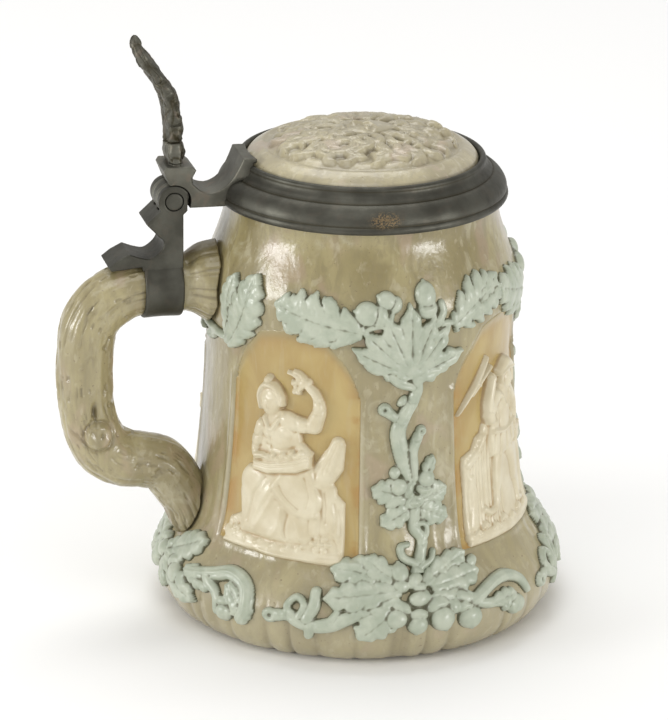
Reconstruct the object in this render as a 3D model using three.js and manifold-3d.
// A half-litre stoneware beer stein with a pewter-mounted, hinged lid.
// Millimetres, +Z up. The origin is the centre of the flat base, on the axis of the mug.
// The handle and the lid hinge lie on -X; +Y and -Y are the two sides.
import * as THREE from 'three';
import { mergeVertices } from 'three/addons/utils/BufferGeometryUtils.js';
import { TessellateModifier } from 'three/addons/modifiers/TessellateModifier.js';
import Module from 'manifold-3d';

const wasm = await Module();
wasm.setup();

// ---------------------------------------------------------------- driving dimensions

const GAP = 0.3;              // clearance left between neighbouring solids
const LIP_Z = 128.6;          // top of the drinking rim
const LIP_R = 40.7;           // outside of the drinking rim
const FLOOR_Z = 9;            // inside bottom of the mug
const RIM_R = 43.3;           // widest radius of the pewter lid mount
const RIM_BASE_Z = 127.3;     // bottom edge of the lid mount
const RIM_WIDEST_Z = 130;     // height of its widest line
const RIM_TOP_Z = 139.6;      // top edge of the lid mount
const SEAT_R = 34.7;          // radius of the seat that holds the inlay
const SEAT_Z = 135.2;         // height of that seat
const DOME_Z = 150;           // highest point of the relief in the lid
const PIN = { x: -57.7, z: 129.7, r: 1.6 };   // hinge pin, along Y
const HINGE_HALF = 6.5;       // half the width of the five-part hinge
const KNUCKLE_R = 4.8;        // outside radius of the hinge barrels
const BORE_R = 1.85;          // hole through the hinge barrels
const WRAP_R = 46.5;          // radius at which the relief outlines are drawn flat
const RELIEF_TURN = 4.5;      // the relief is turned this much from the handle, in degrees
const FIELD_LIFT = 0.4;       // ochre field: gap under it
const FIELD_THICK = 0.6;      // and its thickness
const FIGURE_LIFT = 1.6;      // figures stand on the ochre fields
const FIGURE_THICK = 2.4;
const SPRIG_LIFT = 0.7;       // oak sprays lie on the bare body
const SPRIG_THICK = 2.4;
const FOOT_LIFT = 0.65;       // the lower sprays bend over the rounded foot
const PLATE_EDGE = 8.5;       // longest facet edge of the relief plates
const FOOT_EDGE = 5.8;        // and of those on the foot
const ROUND = 36;             // facets round the large turned pieces

const COLOURS = {
  stoneware: { color: 0x9a8e74, roughness: 0.25, metalness: 0 },
  ochre: { color: 0xb98a52, roughness: 0.35, metalness: 0 },
  cream: { color: 0xe0cfb2, roughness: 0.4, metalness: 0 },
  green: { color: 0x9fada1, roughness: 0.3, metalness: 0 },
  pewter: { color: 0x44433f, roughness: 0.5, metalness: 0.8 },
  steel: { color: 0x6b6b68, roughness: 0.4, metalness: 1 },
  plaster: { color: 0xcfc8b8, roughness: 0.9, metalness: 0 },
};

// ---------------------------------------------------------------- helpers

function radians(degrees) {
  return THREE.MathUtils.degToRad(degrees);
}

// One closed, indexed geometry with shared corners, no collapsed triangles and its faces outwards.
function tidy(geometry) {
  const plain = geometry.clone();
  plain.deleteAttribute('normal');
  plain.deleteAttribute('uv');
  const merged = mergeVertices(plain, 1e-4);
  const p = merged.attributes.position;
  const kept = [];
  let volume = 0;
  const [a, b, c] = [new THREE.Vector3(), new THREE.Vector3(), new THREE.Vector3()];
  for (let i = 0; i < merged.index.count; i += 3) {
    const [ia, ib, ic] = [0, 1, 2].map((k) => merged.index.getX(i + k));
    if (ia === ib || ib === ic || ia === ic) continue;
    kept.push(ia, ib, ic);
    a.fromBufferAttribute(p, ia);
    b.fromBufferAttribute(p, ib);
    c.fromBufferAttribute(p, ic);
    volume += a.dot(b.cross(c));
  }
  if (volume < 0) kept.reverse();
  const out = new THREE.BufferGeometry();
  out.setAttribute('position', p);
  out.setIndex(kept);
  return out;
}

function toSolid(geometry) {
  const g = tidy(geometry);
  return new wasm.Manifold(new wasm.Mesh({
    numProp: 3,
    vertProperties: new Float32Array(g.attributes.position.array),
    triVerts: new Uint32Array(g.index.array),
  }));
}

function toGeometry(solid) {
  const mesh = solid.getMesh();
  const out = new THREE.BufferGeometry();
  out.setAttribute('position', new THREE.BufferAttribute(mesh.vertProperties, 3));
  out.setIndex(new THREE.BufferAttribute(mesh.triVerts, 1));
  return out;
}

// A turned solid about +Z from [radius, height] points.
function turned(points, segments = ROUND) {
  const profile = points.map(([r, z]) => new THREE.Vector2(r, z));
  return new THREE.LatheGeometry(profile, segments).rotateX(Math.PI / 2);
}

// A closed ring: the profile ends where it starts.
function turnedRing(points, segments = ROUND) {
  return turned([...points, points[0]], segments);
}

function shapeOf(points) {
  return new THREE.Shape(points.map(([x, y]) => new THREE.Vector2(x, y)));
}

// An outline in the XZ plane, as thick as the stretch of Y from yLow to yHigh.
function slab(points, yLow, yHigh) {
  const g = new THREE.ExtrudeGeometry(shapeOf(points), { depth: yHigh - yLow, bevelEnabled: false });
  return g.rotateX(Math.PI / 2).translate(0, yHigh, 0);
}

// A round bar along Y, centred on the hinge pin.
function bar(radius, yLow, yHigh, facets = 18) {
  const g = new THREE.CylinderGeometry(radius, radius, yHigh - yLow, facets);
  return g.translate(PIN.x, (yLow + yHigh) / 2, -PIN.z).applyMatrix4(
    new THREE.Matrix4().makeScale(1, 1, -1));
}

// ---------------------------------------------------------------- the mug's shape

// Outside of the body: flat base, bulging root foot, tapering trunk, soft shoulder, neck and lip.
const BODY_OUTSIDE = [
  [52, 0], [55.6, 1.8], [58.4, 5], [59.8, 8.5], [60.2, 12], [59.6, 16], [57.8, 20], [55, 24.5],
  [52.2, 29], [50.2, 34], [48.9, 40], [47.9, 48], [47, 58], [46.2, 70], [45.8, 82], [46.2, 94],
  [46.6, 103], [46.4, 107], [45.4, 110.5], [43.5, 114], [42, 117], [41.1, 120.5], [LIP_R, 124],
  [LIP_R, LIP_Z - 0.9],
];
const BODY_INSIDE = [
  [38.6, LIP_Z], [37.7, LIP_Z - 0.9], [37.2, 123], [37.5, 117], [41, 108.5], [41.4, 96],
  [41.2, 80], [42, 50], [41.6, 16], [37.5, 10.4], [31, FLOOR_Z],
];

function bodyRadius(z) {
  const last = BODY_OUTSIDE.length - 1;
  for (let i = 0; i < last; i += 1) {
    const [r0, z0] = BODY_OUTSIDE[i];
    const [r1, z1] = BODY_OUTSIDE[i + 1];
    if (z <= z1) return THREE.MathUtils.mapLinear(Math.max(z, z0), z0, z1, r0, r1);
  }
  return BODY_OUTSIDE[last][0];
}

function bodyCutter() {
  const outline = BODY_OUTSIDE.map(([r, z]) => [r + GAP, z]);
  return turned([[0, 0], ...outline, [0, LIP_Z]]);
}

function mugBody() {
  const lip = [LIP_R - 0.8, LIP_Z];
  return tidy(turned([[0, 0], ...BODY_OUTSIDE, lip, ...BODY_INSIDE, [0, FLOOR_Z]]));
}

// ---------------------------------------------------------------- the branch handle

// Stations from the upper root to the lower tip: x, z, half height and half width.
const HANDLE = [
  [-41, 102.6, 11, 10], [-49, 102.6, 9.6, 9], [-55, 102.55, 8.25, 7.8], [-66.5, 102.5, 8.25, 7.8],
  [-73, 100.8, 8.5, 8], [-78.8, 96.8, 8.6, 8.2], [-82.4, 90.5, 8.5, 8.2], [-83.4, 83, 8.4, 8],
  [-83.6, 75, 8.4, 8], [-83.2, 67, 8.3, 8], [-81.6, 59, 8.5, 8.2], [-78.2, 53, 8.7, 8.4],
  [-72.5, 49.2, 8.8, 8.4], [-66, 47.9, 8.4, 8.2], [-60.5, 46, 8.2, 8], [-56.5, 41, 7.9, 7.6],
  [-54, 35, 6.8, 6.8], [-52.6, 29.5, 5.6, 5.8], [-52.2, 25, 4.2, 4.6],
];
const HANDLE_SIDES = 12;
const HANDLE_STEPS = 26;

function handleSweep(extra) {
  const path = new THREE.CatmullRomCurve3(HANDLE.map(([x, z]) => new THREE.Vector3(x, 0, z)));
  const sizes = new THREE.CatmullRomCurve3(HANDLE.map((s) => new THREE.Vector3(s[2], s[3], 0)));
  const positions = [];
  const index = [];
  for (let i = 0; i <= HANDLE_STEPS; i += 1) {
    const at = path.getPoint(i / HANDLE_STEPS);
    const along = path.getTangent(i / HANDLE_STEPS);
    const size = sizes.getPoint(i / HANDLE_STEPS);
    for (let k = 0; k < HANDLE_SIDES; k += 1) {
      const turn = (2 * Math.PI * k) / HANDLE_SIDES;
      const lift = Math.cos(turn) * (size.x + extra);
      const side = Math.sin(turn) * (size.y + extra);
      positions.push(at.x - along.z * lift, side, at.z + along.x * lift);
      if (i === HANDLE_STEPS) continue;
      const [here, next] = [i * HANDLE_SIDES + k, i * HANDLE_SIDES + ((k + 1) % HANDLE_SIDES)];
      index.push(here, next, here + HANDLE_SIDES, next, next + HANDLE_SIDES, here + HANDLE_SIDES);
    }
  }
  const end = HANDLE_STEPS * HANDLE_SIDES;
  for (let k = 1; k < HANDLE_SIDES - 1; k += 1) {
    index.push(0, k + 1, k, end, end + k, end + k + 1);
  }
  const g = new THREE.BufferGeometry();
  g.setAttribute('position', new THREE.Float32BufferAttribute(positions, 3));
  g.setIndex(index);
  return g;
}

function handle() {
  return toGeometry(toSolid(handleSweep(0)).subtract(toSolid(bodyCutter())));
}

// ---------------------------------------------------------------- strap and hinge

const STRAP = { xLow: -66.7, xHigh: -55.2, z: 102.55, halfHeight: 10, halfWidth: 9.5, thick: 1.2 };

// An elliptic bar along X round the handle's upper arm.
function armBar(halfHeight, halfWidth, xLow, xHigh) {
  const g = new THREE.CylinderGeometry(1, 1, xHigh - xLow, 24);
  g.rotateZ(Math.PI / 2).scale(1, halfWidth, halfHeight);
  return g.translate((xLow + xHigh) / 2, 0, STRAP.z);
}

function strapBand() {
  const { xLow, xHigh, halfHeight, halfWidth, thick } = STRAP;
  const outer = toSolid(armBar(halfHeight, halfWidth, xLow, xHigh));
  const inner = toSolid(armBar(halfHeight - thick, halfWidth - thick, xLow - 1, xHigh + 1));
  return toGeometry(outer.subtract(inner));
}

// Points measured from the hinge pin, as [x, z].
function fromPin(points) {
  return points.map(([x, z]) => [PIN.x + x, PIN.z + z]);
}

const SHANK_OUTLINE = fromPin([
  [2.7, -3.4], [-3.6, -2.6], [-7.1, -6.4], [-3.5, -9.7], [-3.1, -11.8], [-4, -14], [-7.2, -16.8],
  [-10, -15.6], [-13.4, -14.8], [-17, -16.8], [-19.6, -19], [-19.6, -20.6], [-9.6, -20.6],
  [-9.6, -21.6], [2.7, -21.6],
]);
const TANG_OUTLINE = fromPin([
  [-1.8, 5.7], [-2.9, 10], [6.2, 9.1], [5.3, 6.4], [6.6, 4.2], [8.4, 2.8], [11.4, 2.1], [14.3, 3.2],
  [16.8, 5.6], [18.9, 8.4], [20.6, 11], [22.6, 10], [22.6, -2.2], [16.5, -2.1], [4.9, -1.3], [3, 0],
]);
const TANG_WEB = fromPin([[-1.2, 0], [-1.6, 5.8], [6, 6], [8, -1.5], [4, -1.2]]);
const SHANK_KNUCKLES = [[-HINGE_HALF, -4], [-1.3, 1.3], [4, HINGE_HALF]];
const LID_KNUCKLES = [[-3.75, -1.55], [1.55, 3.75]];
const SWING_R = KNUCKLE_R + 0.35;   // free space round the barrels of the other half
const PLUG = { r: 2.6, hole: 2.9, thick: 0.8, depth: 1.1 };

function pinBore() {
  return toSolid(bar(BORE_R, -HINGE_HALF - 1, HINGE_HALF + 1));
}

function hingeShank() {
  let solid = toSolid(slab(SHANK_OUTLINE, -HINGE_HALF, HINGE_HALF));
  for (const [low, high] of SHANK_KNUCKLES) solid = solid.add(toSolid(bar(KNUCKLE_R, low, high)));
  for (const [low, high] of LID_KNUCKLES) {
    solid = solid.subtract(toSolid(bar(SWING_R, low - 0.25, high + 0.25)));
  }
  for (const side of [-1, 1]) {
    const ends = [side * (HINGE_HALF - PLUG.depth), side * (HINGE_HALF + 1)].sort((a, b) => a - b);
    solid = solid.subtract(toSolid(bar(PLUG.hole, ...ends)));
  }
  const { xLow, xHigh, halfHeight, halfWidth } = STRAP;
  const strapRoom = armBar(halfHeight + GAP, halfWidth + GAP, xLow - GAP, xHigh + 5);
  return toGeometry(solid.subtract(pinBore()).subtract(toSolid(strapRoom))
    .subtract(toSolid(handleSweep(GAP))));
}

function hingePin() {
  const reach = HINGE_HALF - PLUG.depth;
  return tidy(bar(PIN.r, -reach, reach, 20));
}

function pinPlug(side) {
  const ends = [side * HINGE_HALF, side * (HINGE_HALF - PLUG.thick)].sort((a, b) => a - b);
  return tidy(bar(PLUG.r, ...ends));
}

// ---------------------------------------------------------------- lid

const RIM_OUTSIDE = [
  [42.6, RIM_BASE_Z], [43.15, 128.1], [RIM_R, RIM_WIDEST_Z], [42.9, 131.5], [41.9, 133.3], [40.3, 134.7],
  [38.8, 135.3], [37.6, 136.5], [36.7, 137.9], [36.1, 139], [35.5, RIM_TOP_Z],
];
const RIM_INSIDE = [
  [SEAT_R, 139.4], [SEAT_R, SEAT_Z], [31.5, SEAT_Z], [31.5, 133.4], [36.2, 133.4], [37, 129.4],
  [37.6, 128.9], [41.3, 128.9], [41.3, RIM_BASE_Z],
];
const INLAY_R = SEAT_R - GAP;
const INLAY_TOP = [
  [INLAY_R, 139.5], [32.6, 140.6], [30.6, 142.5], [29.7, 142.8], [28.8, 142.4], [24, 146.2],
  [17, 148.9], [9, DOME_Z - 0.2],
];

function lidRim() {
  return tidy(turnedRing([...RIM_OUTSIDE, ...RIM_INSIDE]));
}

function lidInlay() {
  const under = [[0, 138.5], [20, 137], [28, 134.8], [31.1, 134.2], [31.1, 136.6], [INLAY_R, 136.6]];
  return tidy(turned([...under, ...INLAY_TOP, [0, DOME_Z]]));
}

function inlayBedding() {
  return tidy(turnedRing([[31.9, 135.5], [34.3, 135.5], [34.3, 136.3], [31.9, 136.3]], 24));
}

function lidCutter() {
  const outline = RIM_OUTSIDE.map(([r, z]) => [r + GAP, z > RIM_WIDEST_Z ? z + GAP : z]);
  return turned([[0, RIM_BASE_Z - 1], [RIM_OUTSIDE[0][0] + GAP, RIM_BASE_Z - 1], ...outline,
    [30, 143.2], [0, DOME_Z]]);
}

function lidTang() {
  let solid = toSolid(slab(TANG_OUTLINE, -HINGE_HALF, HINGE_HALF));
  solid = solid.subtract(toSolid(bar(SWING_R, -HINGE_HALF - 1, HINGE_HALF + 1)));
  for (const [low, high] of LID_KNUCKLES) {
    solid = solid.add(toSolid(bar(KNUCKLE_R, low, high))).add(toSolid(slab(TANG_WEB, low, high)));
  }
  return toGeometry(solid.subtract(pinBore()).subtract(toSolid(lidCutter())));
}

// ---------------------------------------------------------------- thumb lift

const LIFT_LINE = [
  [-56.5, 140.2], [-57, 147], [-57.2, 153.5], [-58.4, 160], [-61.4, 165.6], [-65, 170.6],
  [-67.4, 175], [-68.2, 178.9],
];
const LIFT_HALF_WIDTHS = [
  [4.4, 139], [4.6, 146], [6, 149.5], [7, 155], [6.8, 162], [5, 169], [3.2, 174.5], [1.6, 179.2],
];
const LIFT_ROOT_HALF = 1.9;   // half its thickness at the root
const LIFT_TIP_HALF = 0.9;    // and at the tip
const LIFT_STEPS = 14;
const LIFT_BLANK = { half: 8, back: -80, deep: 30 };   // the bar that its front view is cut from

function liftSide() {
  const line = new THREE.SplineCurve(LIFT_LINE.map(([x, z]) => new THREE.Vector2(x, z)));
  const left = [];
  const right = [];
  for (let i = 0; i <= LIFT_STEPS; i += 1) {
    const t = i / LIFT_STEPS;
    const at = line.getPoint(t);
    const along = line.getTangent(t);
    const half = THREE.MathUtils.lerp(LIFT_ROOT_HALF, LIFT_TIP_HALF, t);
    left.push([at.x - along.y * half, at.y + along.x * half]);
    right.unshift([at.x + along.y * half, at.y - along.x * half]);
  }
  return [...left, ...right];
}

function thumbLift() {
  const { half, back, deep } = LIFT_BLANK;
  const side = toSolid(slab(liftSide(), -half, half));
  const left = LIFT_HALF_WIDTHS.map(([y, z]) => [-y, z]).reverse();
  const outline = shapeOf([...LIFT_HALF_WIDTHS, ...left]);
  const front = new THREE.ExtrudeGeometry(outline, { depth: deep, bevelEnabled: false });
  front.rotateX(Math.PI / 2).rotateZ(Math.PI / 2).translate(back, 0, 0);
  return toGeometry(side.intersect(toSolid(front)));
}

// ---------------------------------------------------------------- relief on the body

// A flat outline in [arc, height], laid round the body as a plate of even thickness.
function wrapped(points, middle, lift, thick, edge = PLATE_EDGE) {
  const flat = new THREE.ExtrudeGeometry(shapeOf(points), { depth: 1, bevelEnabled: false });
  const fine = tidy(new TessellateModifier(edge, 10).modify(flat));
  const p = fine.attributes.position;
  for (let i = 0; i < p.count; i += 1) {
    const turn = radians(middle) + p.getX(i) / WRAP_R;
    const height = p.getY(i);
    const r = bodyRadius(height) + lift + p.getZ(i) * thick;
    p.setXYZ(i, r * Math.cos(turn), r * Math.sin(turn), height);
  }
  return tidy(fine);
}

function onTrunk(points, middle) {
  return wrapped(points, middle, SPRIG_LIFT, SPRIG_THICK);
}

function onFoot(points, middle) {
  return wrapped(points, middle, FOOT_LIFT, SPRIG_THICK, FOOT_EDGE);
}

// The ochre field is a round-shouldered window: a super-ellipse arch over straight sides.
const FIELD = { low: 30, spring: 74, crown: 97, half: 21.5, across: 8, up: 6 };

function fieldTop(arc) {
  const out = Math.min(1, Math.abs(arc) / FIELD.half);
  return FIELD.spring + (FIELD.crown - FIELD.spring) * (1 - out ** 3.2) ** (1 / 2.4);
}

function ochreField(middle) {
  const rows = FIELD.up + 1;
  const positions = [];
  for (const lift of [FIELD_LIFT, FIELD_LIFT + FIELD_THICK]) {
    for (let i = 0; i <= FIELD.across; i += 1) {
      const arc = FIELD.half * (2 * i / FIELD.across - 1);
      const turn = radians(middle) + arc / WRAP_R;
      for (let k = 0; k < rows; k += 1) {
        const z = THREE.MathUtils.lerp(FIELD.low, fieldTop(arc), (k / FIELD.up) ** 1.6);
        const r = bodyRadius(z) + lift;
        positions.push(r * Math.cos(turn), r * Math.sin(turn), z);
      }
    }
  }
  return closedPlate(positions, FIELD.across + 1, rows);
}

// Joins two grids of points, one behind the other, into a closed plate.
function closedPlate(positions, columns, rows) {
  const index = [];
  const behind = columns * rows;
  const quad = (a, b, c, d) => index.push(a, b, c, a, c, d);
  for (let i = 0; i < columns - 1; i += 1) {
    for (let k = 0; k < rows - 1; k += 1) {
      const at = i * rows + k;
      quad(at, at + 1, at + rows + 1, at + rows);
      quad(behind + at, behind + at + rows, behind + at + rows + 1, behind + at + 1);
    }
    const [low, high] = [i * rows, (i + 1) * rows - 1];
    quad(low, low + rows, behind + low + rows, behind + low);
    quad(high, behind + high, behind + high + rows, high + rows);
  }
  for (let k = 0; k < rows - 1; k += 1) {
    const last = (columns - 1) * rows + k;
    quad(k, behind + k, behind + k + 1, k + 1);
    quad(last, last + 1, behind + last + 1, behind + last);
  }
  const g = new THREE.BufferGeometry();
  g.setAttribute('position', new THREE.Float32BufferAttribute(positions, 3));
  g.setIndex(index);
  return tidy(g);
}

// A seated figure in a headscarf lifting a bunch of fruit, beside a tree stump.
const SEATED_OUTLINE = [
  [-18.3, 30.6], [16.3, 30.6], [16.3, 42], [15.2, 52], [18, 62], [15.6, 66.5], [12.6, 62],
  [10, 56.8], [7, 58], [6.2, 63.5], [10.6, 69], [9.4, 78], [6.6, 84], [3.4, 86], [0.8, 84],
  [2.4, 79], [1, 74.2], [-3.6, 73.6], [-4.2, 78], [-6, 81.6], [-9, 81.2], [-10, 77], [-9.4, 72.6],
  [-12.2, 69], [-11.4, 61], [-10.6, 55], [-15.6, 50], [-15.8, 43], [-17.6, 37],
];
// A standing figure with a long staff on its shoulder, among rocks.
const STAFF_OUTLINE = [
  [-19.6, 30.6], [18.6, 30.6], [17.2, 43], [12.4, 53], [9.6, 62], [12.6, 70], [11, 78], [7.4, 81.4],
  [3.4, 84], [0.2, 82], [-1, 77], [-5, 77.4], [-7.8, 82], [-10.6, 85], [-12, 83.6], [-15.4, 76],
  [-20.6, 71.6], [-20, 69.4], [-14.6, 68.4], [-12.4, 62], [-16.6, 56], [-15.6, 46], [-18.4, 38],
];
const STEM_OUTLINE = [
  [-1.6, 31.6], [1.7, 31.6], [2, 40], [6.6, 43], [11.2, 48], [11.8, 54], [7, 58], [2.5, 58],
  [2, 63.2], [4.8, 64], [5, 66.6], [2, 68], [1.8, 79], [-1.6, 79], [-1.6, 71.4], [-3.8, 72.6],
  [-5.2, 70.6], [-2, 66], [-3, 60.6], [-5.2, 57.4], [-9.4, 57], [-12, 52], [-10, 46], [-6, 41],
];
const UPPER_OUTLINE = [
  [-39.6, 107], [-37, 101.6], [-30, 100.2], [-22, 100.6], [-14, 101], [-8.4, 98], [-13.6, 94],
  [-14, 87.2], [-8.6, 87.2], [-5, 82.6], [0, 79.8], [5, 82.4], [9, 87.2], [14, 88.6], [14, 96],
  [19, 100], [26, 103.4], [30.6, 108.6], [27.6, 112.6], [22, 111.6], [17.6, 107], [12, 103.8],
  [8.4, 106.6], [7, 112], [4.2, 112.6], [1, 109.4], [-3, 108.8], [-9, 110.4], [-15, 109],
  [-22, 107.4], [-28, 110], [-35, 110.8],
];
const LOWER_OUTLINE = [
  [-36, 13], [-30, 12], [-24, 11.8], [-18, 12.8], [-12, 11.2], [-7, 9.2], [-2, 10.4], [5, 9.4],
  [11, 10.4], [16, 12.2], [22, 11.4], [27, 14.4], [25, 19], [19, 21], [13, 23.4], [10, 28],
  [5, 29.6], [0, 27.2], [-6, 30.2], [-10, 28.6], [-13, 25.6], [-18, 22.4], [-22, 18.6], [-27, 19.4],
  [-33, 17.8],
];
const UNDER_HANDLE_OUTLINE = [
  [-30, 13], [-25, 11], [-18, 9.8], [-11, 10.4], [-4, 9.4], [3, 10], [10, 9.6], [17, 11],
  [23, 9.8], [29, 11.6], [31, 16.4], [26, 20], [20, 21.4], [14, 21.8], [8, 19.6], [2, 18.8],
  [-4, 18.4], [-10, 19.4], [-16, 20], [-22, 21.4], [-27, 18.8],
];
const HANDLE_LEAF_OUTLINE = [
  [-8, 92], [-4.6, 91.6], [0, 95.4], [4.4, 98], [8.4, 100], [7.4, 106], [4, 109.6], [-1, 111],
  [-5.6, 108.6], [-8.4, 103], [-7, 97],
];

const PANEL_MIDDLES = [-130, -40.5, 49.5, 139.5];
const COLUMN_MIDDLES = [-90, 0, 90].map((a) => a + RELIEF_TURN);
const HANDLE_LEAF_MIDDLES = { near: -152.9, far: 157 };

// ---------------------------------------------------------------- assembly

const group = new THREE.Group();
group.name = 'beer_stein';

function put(name, geometry, finish) {
  const mesh = new THREE.Mesh(geometry, new THREE.MeshStandardMaterial(COLOURS[finish]));
  mesh.name = name;
  mesh.geometry.computeVertexNormals();
  group.add(mesh);
}

function addMug() {
  put('mug_body', mugBody(), 'stoneware');
  put('handle', handle(), 'stoneware');
  put('strap_band', strapBand(), 'pewter');
  put('hinge_shank', hingeShank(), 'pewter');
  put('hinge_pin', hingePin(), 'steel');
  put('pin_plug_near', pinPlug(-1), 'pewter');
  put('pin_plug_far', pinPlug(1), 'pewter');
}

function addLid() {
  put('lid_rim', lidRim(), 'pewter');
  put('lid_inlay', lidInlay(), 'stoneware');
  put('inlay_bedding', inlayBedding(), 'plaster');
  put('lid_tang', lidTang(), 'pewter');
  put('thumb_lift', thumbLift(), 'pewter');
}

function addRelief() {
  PANEL_MIDDLES.forEach((middle, i) => {
    const figure = i % 2 === 0 ? SEATED_OUTLINE : STAFF_OUTLINE;
    put(`ochre_field_${i + 1}`, ochreField(middle), 'ochre');
    put(`figure_${i + 1}`, wrapped(figure, middle, FIGURE_LIFT, FIGURE_THICK), 'cream');
  });
  COLUMN_MIDDLES.forEach((middle, i) => {
    put(`oak_stem_${i + 1}`, onTrunk(STEM_OUTLINE, middle), 'green');
    put(`oak_spray_upper_${i + 1}`, onTrunk(UPPER_OUTLINE, middle), 'green');
    put(`oak_spray_lower_${i + 1}`, onFoot(LOWER_OUTLINE, middle), 'green');
  });
  put('oak_spray_lower_4', onFoot(UNDER_HANDLE_OUTLINE, 180), 'green');
  const mirrored = HANDLE_LEAF_OUTLINE.map(([s, z]) => [-s, z]).reverse();
  const { near, far } = HANDLE_LEAF_MIDDLES;
  put('handle_leaf_near', onTrunk(HANDLE_LEAF_OUTLINE, near), 'green');
  put('handle_leaf_far', onTrunk(mirrored, far), 'green');
}

addMug();
addLid();
addRelief();

export default group;
